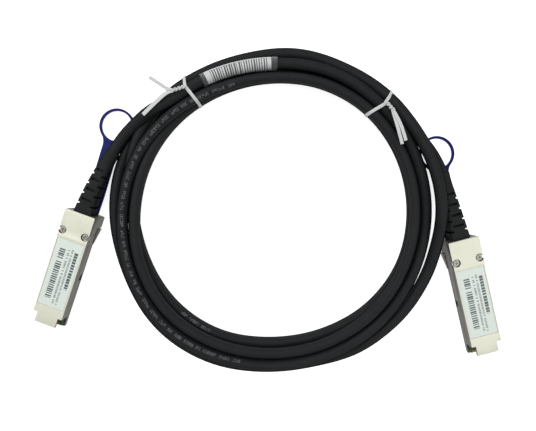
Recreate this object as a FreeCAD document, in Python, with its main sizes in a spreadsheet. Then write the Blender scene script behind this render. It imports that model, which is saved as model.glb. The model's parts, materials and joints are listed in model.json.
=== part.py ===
import FreeCAD, Part
import math
import os
from types import SimpleNamespace

import Sketcher
from FreeCAD import Placement, Rotation, Vector

# A direct attach copper cable: two pluggable ends, one cable wound into a tied coil.
# World frame: +Z up, the surface it lies on at z = 0, millimetres.
# Plug frame: x = 0 at the rear face and the nose towards -x, z = 0 at the underside of the
# part that enters the cage, label face up. The hump hangs below that, so a plug lies tilted.

driving = {
    # plug shells
    "bodyLength": 72.4,
    "bodyWidth": 18.35,
    "bodyHeight": 8.5,
    "rearStep": 0.2,
    "rearLength": 17.4,
    "rearRise": 0.3,
    "rearWall": 2.2,
    "humpDepth": 4.9,
    "humpFlat": 8.2,
    "humpLength": 18.4,
    "sideWall": 1.4,
    "floorThickness": 1.2,
    "lidThickness": 1.6,
    "saddleHeight": 3.6,
    "shoulderHalf": 5.3,
    "rearFloorDrop": 1.9,
    "rearFloorLength": 12.0,
    "trayHalf": 6.0,
    "noseCut": 6.3,
    "noseInset": 2.6,
    "noseWallHeight": 2.2,
    "leadIn": 0.8,
    "leadInDrop": 0.4,
    "cornerRound": 0.8,
    # label and its recess
    "labelRecess": 0.25,
    "labelThickness": 0.12,
    "labelBorder": 0.7,
    "labelStart": 18.2,
    "labelEnd": 60.6,
    "labelMargin": 0.15,
    # shell screws
    "screwFromRear": 12.9,
    "screwSpacing": 14.2,
    "screwShankRadius": 1.0,
    "screwHeadRadius": 1.75,
    "screwHeadHeight": 1.0,
    "screwSeatRadius": 2.4,
    "screwSeatDepth": 1.5,
    "screwLength": 5.2,
    "screwSlot": 0.5,
    "screwSlotHalf": 1.1,
    "threadGap": 0.02,
    "threadRunout": 0.4,
    # latch slider, its recesses and springs
    "sheetThickness": 0.4,
    "armLength": 38.0,
    "armLow": 0.4,
    "armHigh": 3.0,
    "armInset": 0.5,
    "bridgeLength": 7.0,
    "bridgeNotch": 0.9,
    "bridgeLift": 0.3,
    "rearSetBack": 0.3,
    "latchPocketLength": 3.6,
    "latchPocketDepth": 1.0,
    "releaseTravel": 3.0,
    "slideGap": 0.15,
    "faceGap": 0.05,
    "touchGap": 0.03,
    "springRadius": 0.8,
    "springWire": 0.3,
    "springClosed": 4.0,
    "springTurns": 4.0,
    "springSideGap": 0.18,
    "springPocketGap": 0.12,
    "springRear": 20.0,
    "springHeight": 1.7,
    # pull tab
    "strapWidth": 10.2,
    "strapThickness": 1.4,
    "strapInside": 5.6,
    "strapDrop": 12.0,
    "strapClearOfTable": 0.3,
    "channelGap": 0.6,
    "ringRadius": 11.0,
    "ringBand": 1.5,
    "flareRadius": 8.0,
    "pegLength": 2.4,
    "pegWidth": 6.0,
    "pegPlay": 0.5,
    "pegMargin": 0.93,
    # strain relief
    "cableRadius": 3.5,
    "cableAxis": 2.6,
    "reliefLength": 40.5,
    "reliefBaseHalf": 5.6,
    "reliefBaseHeight": 4.2,
    "reliefCorner": 1.0,
    "reliefNeckHalf": 4.15,
    "reliefNeckHeight": 4.0,
    "reliefNeckCorner": 3.7,
    "reliefNeckStart": 31.0,
    "reliefDroop": 9.0,
    "collarHalf": 4.5,
    "collarHeight": 3.6,
    "flangeHalf": 5.1,
    "flangeHeight": 4.1,
    "flangeThickness": 2.1,
    "collarGap": 0.2,
    "slotFirst": 5.2,
    "slotPitch": 6.4,
    "slotWidth": 1.3,
    "slotDepth": 2.0,
    # circuit card and what is on it
    "cardThickness": 1.0,
    "cardLedge": 3.2,
    "cardNoseWidth": 16.4,
    "cardSetBack": 0.8,
    "cardRear": 22.0,
    "padPitch": 0.8,
    "padWidth": 0.5,
    "padLength": 3.0,
    "padThickness": 0.06,
    "padSetBack": 0.6,
    "chipLength": 4.9,
    "chipWidth": 3.9,
    "chipHeight": 1.5,
    "chipFromRear": 48.0,
    "capacitorLength": 1.0,
    "capacitorWidth": 0.5,
    "capacitorFromNose": 9.4,
    "coverLength": 6.4,
    "coverBehindCard": 1.4,
    "coverHalf": 5.8,
    "coverGap": 0.2,
    "wireRadius": 0.58,
    "wireSpacing": 2.6,
    "wireLift": 1.2,
    "wireGather": 1.25,
    "wireGatherLift": 1.0,
    "wireInFerrule": 2.5,
    "ferruleRadius": 3.8,
    "ferruleWall": 0.45,
    "ferruleLength": 6.1,
    # cable coil
    "coilRadius": 98.5,
    "coilWidth": 20.0,
    "coilLift": 0.6,
    "coilRise": 6.0,
    "looseRise": 6.6,
    "looseReach": 2.6,
    "coilTopInner": 83.5,
    "coilTopOuter": 90.0,
    "leadStraight": 9.5,
    "coilX": 2.32,
    "coilY": 13.61,
    # ties, label and sleeve on the cable
    "tieWidth": 2.3,
    "tieThickness": 0.45,
    "tieGap": 0.12,
    "tieTwistRadius": 1.1,
    "tieTailBack": 0.6,
    "tieLeftAzimuth": -33.4,
    "tieRightAzimuth": 45.4,
    "labelFrom": -28.4,
    "labelTo": 0.3,
    "sleeveFrom": -31.5,
    "sleeveTo": 3.4,
    "sleeveGap": 0.3,
    "sleeveThickness": 0.15,
    "wrapThickness": 0.12,
    "wrapGap": 0.06,
    # how the plugs lie: place of the rear reference point, direction from nose to rear, and
    # how far the bent relief and the tab's ring have come
    "leftRearX": -110.44,
    "leftRearY": 11.99,
    "leftHeading": 69.97,
    "leftSplay": 3.3,
    "leftReliefBend": -9.5,
    "leftRingReach": 56.4,
    "rightRearX": 116.66,
    "rightRearY": -3.64,
    "rightHeading": 104.65,
    "rightSplay": -3.95,
    "rightReliefBend": -1.0,
    "rightRingReach": 53.2,
}

padCount = 19
slotCount = 8
capacitorPairs = 4

# Routes of the loose stretches of cable, from point to point.
leadRoutes = {
    "left": [(-79.7, 64.9, 9.6), (-69.7, 72.1, 10.8), (-59.5, 77.4, 9.7)],
    "right": [(97.6, 56.3, 6.2), (89.8, 65.1, 4.6), (80.8, 71.4, 4.2), (71.8, 76.1, 4.3)],
}
looseRoute = [
    (27.7, 108.1, 4.8), (55.9, 97.1, 6.0), (74.7, 82.1, 9.6), (87.2, 64.1, 13.8),
    (97.0, 46.1, 14.6), (102.8, 27.1, 15.0), (104.7, 8.6, 13.4), (102.7, -10.5, 6.4),
    (97.2, -28.9, 4.1), (82.7, -49.6, 4.1), (60.6, -68.1, 4.1), (40.6, -77.1, 4.3),
]

doc = FreeCAD.newDocument("DirectAttachCable")
sheet = doc.addObject("Spreadsheet::Sheet", "Sizes")
for row, (name, number) in enumerate(driving.items(), start=1):
    sheet.set(f"A{row}", name)
    sheet.set(f"B{row}", str(number))
    sheet.setAlias(f"B{row}", name)
doc.recompute()


class Size:
    # A length or angle with the sheet expression that gives it.
    def __init__(self, value, text):
        self.value = value
        self.text = text

    def __add__(self, other):
        other = asSize(other)
        return Size(self.value + other.value, f"({self.text} + {other.text})")

    def __radd__(self, other):
        return asSize(other) + self

    def __sub__(self, other):
        other = asSize(other)
        return Size(self.value - other.value, f"({self.text} - {other.text})")

    def __rsub__(self, other):
        return asSize(other) - self

    def __mul__(self, other):
        other = asSize(other)
        return Size(self.value * other.value, f"({self.text} * {other.text})")

    def __rmul__(self, other):
        return asSize(other) * self

    def __truediv__(self, other):
        other = asSize(other)
        return Size(self.value / other.value, f"({self.text} / {other.text})")

    def __neg__(self):
        return Size(-self.value, f"(0 - {self.text})")


def asSize(number):
    return number if isinstance(number, Size) else Size(number, repr(number))


size = SimpleNamespace(**{name: Size(float(sheet.get(name)), f"Sizes.{name}") for name in driving})
nodes = []


def finish(feature, label, placement=Placement()):
    feature.Label = label
    feature.Placement = placement
    nodes.append(feature)
    return feature


# ---- sketches and features ----

def newBody(label):
    return doc.addObject("PartDesign::Body", label)


def sketchIn(body, role, name, offset=None):
    sketch = body.newObject("Sketcher::SketchObject", name)
    plane = next(part for part in body.Origin.OriginFeatures if part.Role == role)
    sketch.AttachmentSupport = [(plane, "")]
    sketch.MapMode = "FlatFace"
    if offset is not None:
        sketch.setExpression(".AttachmentOffset.Base.z", asSize(offset).text)
    return sketch


def pinPoint(sketch, piece, point, across, up):
    for kind, axis, distance in (("DistanceX", -2, asSize(across)), ("DistanceY", -1, asSize(up))):
        if distance.text == "0":
            sketch.addConstraint(Sketcher.Constraint("PointOnObject", piece, point, axis))
            continue
        rule = Sketcher.Constraint(kind, -1, 1, piece, point, distance.value)
        index = sketch.addConstraint(rule)
        sketch.setExpression(f"Constraints[{index}]", distance.text)


def setRadius(sketch, piece, radius):
    index = sketch.addConstraint(Sketcher.Constraint("Radius", piece, asSize(radius).value))
    sketch.setExpression(f"Constraints[{index}]", asSize(radius).text)


def flat(point):
    return Vector(asSize(point[0]).value, asSize(point[1]).value, 0)


def drawOutline(sketch, points):
    first = sketch.GeometryCount
    count = len(points)
    for index in range(count):
        line = Part.LineSegment(flat(points[index]), flat(points[(index + 1) % count]))
        sketch.addGeometry(line, False)
    for index in range(count):
        following = first + (index + 1) % count
        sketch.addConstraint(Sketcher.Constraint("Coincident", first + index, 2, following, 1))
    for index, (across, up) in enumerate(points):
        pinPoint(sketch, first + index, 1, across, up)


def drawRectangle(sketch, left, right, low, high):
    drawOutline(sketch, [(left, low), (right, low), (right, high), (left, high)])


def drawCircle(sketch, across, up, radius):
    circle = Part.Circle(flat((across, up)), Vector(0, 0, 1), asSize(radius).value)
    piece = sketch.addGeometry(circle, False)
    pinPoint(sketch, piece, 3, across, up)
    setRadius(sketch, piece, radius)


def drawHull(sketch, centres, radius):
    # The outline that wraps equal circles: an arc round each centre, joined by tangent lines.
    # The centres go round anticlockwise and make a convex outline.
    first = sketch.GeometryCount
    count = len(centres)
    reach = asSize(radius).value
    spots = [flat(centre) for centre in centres]
    turned = []
    for index in range(count):
        along = spots[(index + 1) % count] - spots[index]
        turned.append(math.atan2(-along.x, along.y))
    for index in range(count):
        start, end = turned[index - 1], turned[index]
        if end < start:
            end += 2 * math.pi
        circle = Part.Circle(spots[index], Vector(0, 0, 1), reach)
        sketch.addGeometry(Part.ArcOfCircle(circle, start, end), False)
        away = Vector(math.cos(end), math.sin(end), 0) * reach
        line = Part.LineSegment(spots[index] + away, spots[(index + 1) % count] + away)
        sketch.addGeometry(line, False)
    for index in range(count):
        arc, line = first + 2 * index, first + 2 * index + 1
        following = first + (2 * index + 2) % (2 * count)
        sketch.addConstraint(Sketcher.Constraint("Tangent", arc, 2, line, 1))
        sketch.addConstraint(Sketcher.Constraint("Tangent", line, 2, following, 1))
    for index, (across, up) in enumerate(centres):
        pinPoint(sketch, first + 2 * index, 3, across, up)
        setRadius(sketch, first + 2 * index, radius)


def extrude(body, kind, sketch, name, length, symmetric=False, backwards=False):
    feature = body.newObject(f"PartDesign::{kind}", name)
    feature.Profile = sketch
    feature.SideType = "Symmetric" if symmetric else "One side"
    feature.Reversed = backwards
    feature.setExpression("Length", asSize(length).text)
    return feature


def padSection(body, name, points, width):
    # A profile in the plug's own length-and-height plane, as wide as given about the middle.
    sketch = sketchIn(body, "XZ_Plane", f"{name}Sketch")
    drawOutline(sketch, points)
    return extrude(body, "Pad", sketch, name, width, symmetric=True)


def cutBox(body, name, boxes, top, bottom):
    # Pockets with the plan outlines given, from the height top down to bottom.
    sketch = sketchIn(body, "XY_Plane", f"{name}Sketch", top)
    for left, right, near, far in boxes:
        drawRectangle(sketch, left, right, near, far)
    return extrude(body, "Pocket", sketch, name, asSize(top) - bottom)


def roundRearCorners(body):
    # The upright corners at the rear of what the body has so far.
    doc.recompute()
    shell = body.Tip
    corners = []
    for index, edge in enumerate(shell.Shape.Edges, start=1):
        spots = [vertex.Point for vertex in edge.Vertexes]
        if all(abs(spot.x) < 1e-6 and abs(abs(spot.y) - halfRear.value) < 1e-6 for spot in spots):
            corners.append(f"Edge{index}")
    fillet = body.newObject("PartDesign::Fillet", "RearCorners")
    fillet.Base = (shell, corners)
    fillet.setExpression("Radius", size.cornerRound.text)


def bothSides(left, right, inner, outer):
    return [(left, right, inner, outer), (left, right, -asSize(outer), -asSize(inner))]


# ---- how each plug lies ----

noseBehind = size.bodyLength - size.humpFlat
tilt = math.degrees(math.atan(size.humpDepth.value / noseBehind.value))
rearHeight = size.bodyLength.value * math.sin(math.radians(tilt))
ends = {}
for side in ("left", "right"):
    rearX, rearY, heading, splay, bend = (
        getattr(size, side + name).value for name in ("RearX", "RearY", "Heading", "Splay", "ReliefBend")
    )
    turn = Rotation(Vector(0, 0, 1), heading) * Rotation(Vector(0, 1, 0), -tilt)
    frame = Placement(Vector(rearX, rearY, rearHeight), turn)
    ends[side] = SimpleNamespace(frame=frame, heading=heading, splay=splay, bend=bend,
                                 ring=getattr(size, side + "RingReach"))

halfBody = size.bodyWidth / 2
halfRear = halfBody + size.rearStep
lidSplit = size.bodyHeight - size.lidThickness
rearTop = size.bodyHeight + size.rearRise
armOuter = halfBody - size.armInset + size.sheetThickness
armInner = halfBody - size.armInset
armRecess = armInner - size.faceGap
screwY = size.screwSpacing / 2
noseCutEnd = -size.bodyLength + size.noseCut
beyond = 1.0
openingHalf = size.collarHalf + size.collarGap
openingLow = size.cableAxis - size.collarHeight - size.collarGap
openingHigh = size.cableAxis + size.collarHeight + size.collarGap
bridgeTop = -size.humpDepth + size.bridgeLift + size.sheetThickness
strapBase = bridgeTop + size.touchGap
channelTop = strapBase + size.strapThickness + size.slideGap
pegX = -(size.strapInside - size.pegMargin - size.pegLength / 2)
springLength = size.springClosed + size.releaseTravel
springY = armInner - size.springRadius - size.springSideGap
humpSlope = size.humpDepth / (size.humpLength - size.humpFlat)


# ---- plug shells ----

def makeLid(side):
    body = newBody(f"plug_lid_{side}")
    rear = -size.rearLength
    padSection(body, "Plate", [
        (-size.bodyLength, lidSplit), (0, lidSplit), (0, size.bodyHeight),
        (-size.bodyLength + size.leadIn, size.bodyHeight),
        (-size.bodyLength, size.bodyHeight - size.leadInDrop),
    ], size.bodyWidth)
    padSection(body, "RearBlock", [
        (rear, size.saddleHeight), (0, size.saddleHeight), (0, rearTop), (rear, rearTop),
    ], halfRear * 2)
    roundRearCorners(body)
    cutBox(body, "Cavity", [(rear - beyond, -size.rearWall, -size.shoulderHalf, size.shoulderHalf)],
           lidSplit, size.saddleHeight - beyond)
    cutBox(body, "CordWay", [(-size.rearWall - beyond, beyond, -openingHalf, openingHalf)],
           openingHigh, size.saddleHeight - beyond)
    cutBox(body, "NoseCorners",
           bothSides(-size.bodyLength - beyond, noseCutEnd, halfBody - size.noseInset, halfBody + beyond),
           size.bodyHeight + beyond, lidSplit - beyond)
    cutBox(body, "LabelRecess", [
        (-size.labelEnd, -size.labelStart, -halfBody + size.labelBorder, halfBody - size.labelBorder)
    ], size.bodyHeight + beyond, size.bodyHeight - size.labelRecess)
    for name, radius, top, bottom in (
        ("Seats", size.screwSeatRadius, rearTop + beyond, rearTop - size.screwSeatDepth),
        ("Clearance", size.screwShankRadius + size.slideGap, rearTop, size.saddleHeight - beyond),
    ):
        sketch = sketchIn(body, "XY_Plane", f"{name}Sketch", top)
        for across in (screwY, -screwY):
            drawCircle(sketch, -size.screwFromRear, across, radius)
        extrude(body, "Pocket", sketch, name, top - bottom)
    finish(body, f"plug_lid_{side}", ends[side].frame)


def makeBase(side):
    body = newBody(f"plug_base_{side}")
    rear = -size.rearLength
    hump = -(size.humpLength - size.rearLength) * humpSlope
    padSection(body, "Tray", [
        (-size.bodyLength, size.leadInDrop), (-size.bodyLength + size.leadIn, 0),
        (-size.humpLength, 0), (-size.humpFlat, -size.humpDepth), (0, -size.humpDepth),
        (0, size.saddleHeight), (rear, size.saddleHeight), (rear, lidSplit), (-size.bodyLength, lidSplit),
    ], size.bodyWidth)
    padSection(body, "RearBlock", [
        (rear, hump), (-size.humpFlat, -size.humpDepth), (0, -size.humpDepth),
        (0, size.saddleHeight), (rear, size.saddleHeight),
    ], halfRear * 2)
    roundRearCorners(body)
    innerHalf = halfBody - size.sideWall
    cutBox(body, "CardSpace", [(-size.bodyLength - beyond, rear, -innerHalf, innerHalf)],
           lidSplit, size.cardLedge)
    cutBox(body, "TrayFloor", [(-size.bodyLength - beyond, rear, -size.trayHalf, size.trayHalf)],
           size.cardLedge, size.floorThickness)
    cutBox(body, "RearFloor", [(rear - beyond, -size.rearWall, -size.shoulderHalf, size.shoulderHalf)],
           size.saddleHeight, size.floorThickness)
    cutBox(body, "FerruleWell", [
        (-size.rearFloorLength, -size.rearWall, -size.shoulderHalf, size.shoulderHalf)
    ], size.saddleHeight, -size.rearFloorDrop)
    cutBox(body, "CordWay", [(-size.rearWall - beyond, beyond, -openingHalf, openingHalf)],
           size.saddleHeight, openingLow)
    cutBox(body, "NoseSides",
           bothSides(-size.bodyLength - beyond, noseCutEnd, size.trayHalf - beyond, halfBody + beyond),
           lidSplit, size.noseWallHeight)
    recessTop = size.armHigh + size.slideGap
    recessOut = halfRear + beyond
    cutBox(body, "ArmRecess",
           bothSides(-size.armLength - size.slideGap, beyond, armRecess, recessOut),
           recessTop, size.armLow - size.slideGap)
    notch = -size.bridgeLength - size.bridgeNotch
    cutBox(body, "WrapSides", bothSides(notch, beyond, armRecess, recessOut),
           recessTop, -size.humpDepth - beyond)
    cutBox(body, "WrapUnder", [(notch, beyond, -recessOut, recessOut)],
           bridgeTop + size.faceGap, -size.humpDepth - beyond)
    channelHalf = size.strapWidth / 2 + size.channelGap
    cutBox(body, "TabChannel", [(-size.strapInside - size.channelGap, beyond, -channelHalf, channelHalf)],
           channelTop, bridgeTop)
    latch = -size.armLength - size.latchPocketLength
    cutBox(body, "LatchPockets",
           bothSides(latch, -size.armLength + size.leadIn, halfBody - size.latchPocketDepth, recessOut),
           recessTop, size.armLow - size.slideGap)
    pocketHalf = size.springRadius + size.springPocketGap
    pocketFront = -size.springRear - springLength - size.sheetThickness - size.slideGap * 2
    cutBox(body, "SpringPockets", bothSides(pocketFront, -size.springRear, springY - pocketHalf, recessOut),
           size.springHeight + pocketHalf, size.springHeight - pocketHalf)
    sketch = sketchIn(body, "XY_Plane", "TappedSketch", size.saddleHeight)
    for across in (screwY, -screwY):
        drawCircle(sketch, -size.screwFromRear, across, size.screwShankRadius + size.threadGap)
    tapped = size.screwLength - (rearTop - size.screwSeatDepth - size.saddleHeight) + size.threadRunout
    extrude(body, "Pocket", sketch, "Tapped", tapped)
    finish(body, f"plug_base_{side}", ends[side].frame)


def makeScrews(side):
    seat = rearTop - size.screwSeatDepth
    screws = []
    for index, across in enumerate((screwY, -screwY)):
        body = newBody(f"screw_{side}_{index}")
        sketch = sketchIn(body, "XY_Plane", "ShankSketch", seat)
        drawCircle(sketch, -size.screwFromRear, across, size.screwShankRadius)
        extrude(body, "Pad", sketch, "Shank", size.screwLength, backwards=True)
        sketch = sketchIn(body, "XY_Plane", "HeadSketch", seat)
        drawCircle(sketch, -size.screwFromRear, across, size.screwHeadRadius)
        extrude(body, "Pad", sketch, "Head", size.screwHeadHeight)
        arm = size.screwSlotHalf
        slot = size.screwSlot / 2
        middle = -size.screwFromRear
        top = seat + size.screwHeadHeight
        cutBox(body, "SlotLong", [(middle - arm, middle + arm, across - slot, across + slot)],
               top, top - size.screwSlot)
        cutBox(body, "SlotCross", [(middle - slot, middle + slot, across - arm, across + arm)],
               top, top - size.screwSlot)
        screws.append(body)
    group = doc.addObject("Part::Compound", f"shell_screws_{side}")
    group.Links = screws
    finish(group, f"shell_screws_{side}", ends[side].frame)


def makeLabel(side):
    box = doc.addObject("Part::Box", f"plug_label_{side}")
    near = halfBody - size.labelBorder - size.labelMargin
    box.setExpression("Length", (size.labelEnd - size.labelStart - size.labelMargin * 2).text)
    box.setExpression("Width", (near * 2).text)
    box.setExpression("Height", size.labelThickness.text)
    corner = Vector((-size.labelEnd + size.labelMargin).value, -near.value,
                    (size.bodyHeight - size.labelRecess).value)
    finish(box, f"plug_label_{side}", ends[side].frame * Placement(corner, Rotation()))


# ---- release: slider, springs and pull tab ----

def makeSlider(side):
    body = newBody(f"latch_slider_{side}")
    bridgeLow = -size.humpDepth + size.bridgeLift
    padSection(body, "Folded", [
        (-size.armLength, size.armLow), (-size.bridgeLength, size.armLow),
        (-size.bridgeLength, bridgeLow), (-size.rearSetBack, bridgeLow),
        (-size.rearSetBack, size.armHigh), (-size.armLength, size.armHigh),
    ], armOuter * 2)
    sketch = sketchIn(body, "XZ_Plane", "InsideSketch")
    drawRectangle(sketch, -size.armLength - beyond, beyond, bridgeTop, size.armHigh + beyond)
    extrude(body, "Pocket", sketch, "Inside", armInner * 2, symmetric=True)
    # The inward tabs that carry the springs.
    tabHalf = size.springRadius - size.slideGap
    tabX = -size.springRear - springLength
    sketch = sketchIn(body, "XY_Plane", "TabsSketch", size.springHeight - tabHalf)
    for left, right, near, far in bothSides(tabX - size.sheetThickness, tabX, springY - tabHalf, armOuter):
        drawRectangle(sketch, left, right, near, far)
    extrude(body, "Pad", sketch, "Tabs", tabHalf * 2)
    length = size.pegLength / 2 + size.pegPlay
    width = size.pegWidth / 2 + size.pegPlay
    cutBox(body, "PegWindow", [(pegX - length, pegX + length, -width, width)],
           bridgeTop + beyond, bridgeLow - beyond)
    finish(body, f"latch_slider_{side}", ends[side].frame)


def makeSprings(side):
    # Two open coils of square wire, each from the slider's tab to the rear end of its pocket.
    radius = (size.springRadius - size.springWire / 2).value
    half = size.springWire.value / 2
    run = (springLength - size.springWire).value
    coils = []
    for sign in (1, -1):
        helix = Part.makeHelix(run / size.springTurns.value, run, radius)
        corners = [(-half, -half), (half, -half), (half, half), (-half, half), (-half, -half)]
        wire = Part.makePolygon([Vector(radius + across, 0, up) for across, up in corners])
        coil = Part.Wire(helix.Edges).makePipeShell([wire], True, True)
        start = Vector(-(size.springRear + springLength).value + half, springY.value * sign,
                       size.springHeight.value)
        coil.Placement = Placement(start, Rotation(Vector(0, 1, 0), 90)) * coil.Placement
        coils.append(coil)
    feature = doc.addObject("Part::Feature", f"return_springs_{side}")
    feature.Shape = Part.makeCompound(coils)
    finish(feature, f"return_springs_{side}", ends[side].frame)


def makePullTab(side):
    # Built level: the strap leaves the tilted plug, comes down to the table and runs flat.
    end = ends[side]
    slope = math.tan(math.radians(tilt))
    start = end.frame.multVec(Vector(0, 0, strapBase.value))
    drop = Size(start.z, repr(round(start.z, 4))) - size.strapClearOfTable
    inside = size.strapInside
    dip = inside * slope
    thick = size.strapThickness
    ringX = end.ring
    reach = size.ringRadius + size.flareRadius
    lift = size.strapWidth / 2 + size.flareRadius
    back = Size(math.sqrt(reach.value ** 2 - lift.value ** 2), f"sqrt({reach.text}^2 - {lift.text}^2)")
    flareX = ringX - back
    body = newBody(f"pull_tab_{side}")
    padSection(body, "Strap", [
        (-inside, -dip), (0, 0), (size.strapDrop, -drop), (flareX, -drop),
        (flareX, thick - drop), (size.strapDrop, thick - drop), (0, thick), (-inside, thick - dip),
    ], size.strapWidth)
    sketch = sketchIn(body, "XY_Plane", "FlareSketch", -drop)
    touchX = ringX - back * size.ringRadius / reach
    touchY = lift * size.ringRadius / reach
    drawFlare(sketch, flareX, size.strapWidth / 2, touchX, touchY, lift)
    extrude(body, "Pad", sketch, "Flare", thick)
    sketch = sketchIn(body, "XY_Plane", "RingSketch", -drop)
    drawCircle(sketch, ringX, 0, size.ringRadius)
    extrude(body, "Pad", sketch, "Ring", thick)
    sketch = sketchIn(body, "XY_Plane", "FingerSketch", thick)
    drawCircle(sketch, ringX, 0, size.ringRadius - size.ringBand)
    extrude(body, "Pocket", sketch, "Finger", drop + thick * 2)
    sketch = sketchIn(body, "XY_Plane", "PegSketch", -dip - size.sheetThickness / 2)
    drawRectangle(sketch, pegX - size.pegLength / 2, pegX + size.pegLength / 2,
                  -size.pegWidth / 2, size.pegWidth / 2)
    extrude(body, "Pad", sketch, "Peg", size.sheetThickness * 1.5)
    finish(body, f"pull_tab_{side}", Placement(start, Rotation(Vector(0, 0, 1), end.heading + end.splay)))


def drawFlare(sketch, flareX, half, touchX, touchY, lift):
    # The web between strap and ring: both edges are arcs tangent to the strap and to the ring.
    radius = size.flareRadius.value
    arcs = []
    for sign in (1, -1):
        centre = Vector(flareX.value, lift.value * sign, 0)
        low = Vector(flareX.value, half.value * sign, 0) - centre
        high = Vector(touchX.value, touchY.value * sign, 0) - centre
        angles = sorted((math.atan2(low.y, low.x), math.atan2(high.y, high.x)))
        circle = Part.Circle(centre, Vector(0, 0, 1), radius)
        arcs.append(sketch.addGeometry(Part.ArcOfCircle(circle, angles[0], angles[1]), False))
    strapPoint = {1: 1, -1: 2}
    ringPoint = {1: 2, -1: 1}
    for arc, sign in zip(arcs, (1, -1)):
        pinPoint(sketch, arc, 3, flareX, lift * sign)
        setRadius(sketch, arc, size.flareRadius)
        pinAcross(sketch, arc, strapPoint[sign], flareX)
        pinAcross(sketch, arc, ringPoint[sign], touchX)
    front = sketch.addGeometry(Part.LineSegment(flat((flareX, -half)), flat((flareX, half))), False)
    back = sketch.addGeometry(Part.LineSegment(flat((touchX, touchY)), flat((touchX, -touchY))), False)
    for piece, point, arc, arcPoint in (
        (front, 1, arcs[1], strapPoint[-1]), (front, 2, arcs[0], strapPoint[1]),
        (back, 1, arcs[0], ringPoint[1]), (back, 2, arcs[1], ringPoint[-1]),
    ):
        sketch.addConstraint(Sketcher.Constraint("Coincident", piece, point, arc, arcPoint))


def pinAcross(sketch, piece, point, across):
    index = sketch.addConstraint(Sketcher.Constraint("DistanceX", -1, 1, piece, point, across.value))
    sketch.setExpression(f"Constraints[{index}]", across.text)


# ---- strain relief ----

def reliefStation(side, distance):
    # Where the relief's middle line is, that far from the rear face, in the plug's frame.
    share = distance / size.reliefLength.value
    yaw = ends[side].bend * share
    pitch = size.reliefDroop.value * share
    halfYaw, halfPitch = math.radians(yaw / 2), math.radians(pitch / 2)
    spot = Vector(
        distance * math.cos(halfYaw) * math.cos(halfPitch),
        distance * math.sin(halfYaw),
        size.cableAxis.value - distance * math.sin(halfPitch),
    )
    turn = Rotation(Vector(0, 0, 1), yaw) * Rotation(Vector(0, 1, 0), pitch)
    return Placement(spot, turn)


def reliefHalf(distance, base, neck):
    share = min(1.0, distance / size.reliefNeckStart.value)
    return base + (neck - base) * share


def reliefSection(side, index, distance):
    halfWidth = reliefHalf(distance, size.reliefBaseHalf, size.reliefNeckHalf)
    halfHeight = reliefHalf(distance, size.reliefBaseHeight, size.reliefNeckHeight)
    corner = reliefHalf(distance, size.reliefCorner, size.reliefNeckCorner)
    sketch = doc.addObject("Sketcher::SketchObject", f"ReliefSection_{side}_{index}")
    across, up = halfWidth - corner, halfHeight - corner
    drawHull(sketch, [(-across, -up), (across, -up), (across, up), (-across, up)], corner)
    stand = Placement(Vector(), Rotation(Vector(0, 1, 0), 90) * Rotation(Vector(0, 0, 1), 90))
    sketch.Placement = reliefStation(side, distance) * stand
    return sketch


def reliefSlots(side, index):
    # A facing pair of slots that lets the relief bend: by turns from its two edges, and from
    # above and below, where they stop in line with the bottoms of those from the edges.
    distance = (size.slotFirst + size.slotPitch * (index / 2)).value
    halfWidth = reliefHalf(distance, size.reliefBaseHalf, size.reliefNeckHalf)
    halfHeight = reliefHalf(distance, size.reliefBaseHeight, size.reliefNeckHeight)
    if index % 2 == 0:
        turns, reach, span = (0, 180), halfWidth, (halfHeight + beyond) * 2
    else:
        turns, reach, span = (90, 270), halfHeight, (halfWidth - size.slotDepth) * 2
    corner = Vector(-size.slotWidth.value / 2, (reach - size.slotDepth).value, -span.value / 2)
    slots = []
    for turn in turns:
        box = doc.addObject("Part::Box", f"ReliefSlot_{side}_{index}_{turn}")
        box.setExpression("Length", size.slotWidth.text)
        box.setExpression("Width", (size.slotDepth + beyond).text)
        box.setExpression("Height", span.text)
        facing = Placement(Vector(), Rotation(Vector(1, 0, 0), turn))
        box.Placement = reliefStation(side, distance) * facing * Placement(corner, Rotation())
        slots.append(box)
    return slots


def makeRelief(side):
    steps = slotCount // 2
    stations = [size.reliefNeckStart.value * step / steps for step in range(steps + 1)]
    stations.append(size.reliefLength.value)
    loft = doc.addObject("Part::Loft", f"ReliefBody_{side}")
    loft.Sections = [reliefSection(side, index, spot) for index, spot in enumerate(stations)]
    loft.Solid = True
    slots = doc.addObject("Part::MultiFuse", f"ReliefSlots_{side}")
    slots.Shapes = [slot for index in range(slotCount) for slot in reliefSlots(side, index)]
    slotted = doc.addObject("Part::Cut", f"ReliefSlotted_{side}")
    slotted.Base, slotted.Tool = loft, slots
    collar = doc.addObject("Part::Box", f"ReliefCollar_{side}")
    collar.setExpression("Length", (size.rearWall + size.collarGap).text)
    collar.setExpression("Width", (size.collarHalf * 2).text)
    collar.setExpression("Height", (size.collarHeight * 2).text)
    start = -(size.rearWall + size.collarGap).value
    collar.Placement.Base = Vector(start, -size.collarHalf.value,
                                   (size.cableAxis - size.collarHeight).value)
    flange = doc.addObject("Part::Box", f"ReliefFlange_{side}")
    flange.setExpression("Length", size.flangeThickness.text)
    flange.setExpression("Width", (size.flangeHalf * 2).text)
    flange.setExpression("Height", (size.flangeHeight * 2).text)
    flange.Placement.Base = Vector(start - size.flangeThickness.value, -size.flangeHalf.value,
                                   (size.cableAxis - size.flangeHeight).value)
    whole = doc.addObject("Part::MultiFuse", f"strain_relief_{side}")
    whole.Shapes = [slotted, collar, flange]
    finish(whole, f"strain_relief_{side}", ends[side].frame)


# ---- circuit card, its parts and the wires ----

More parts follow.
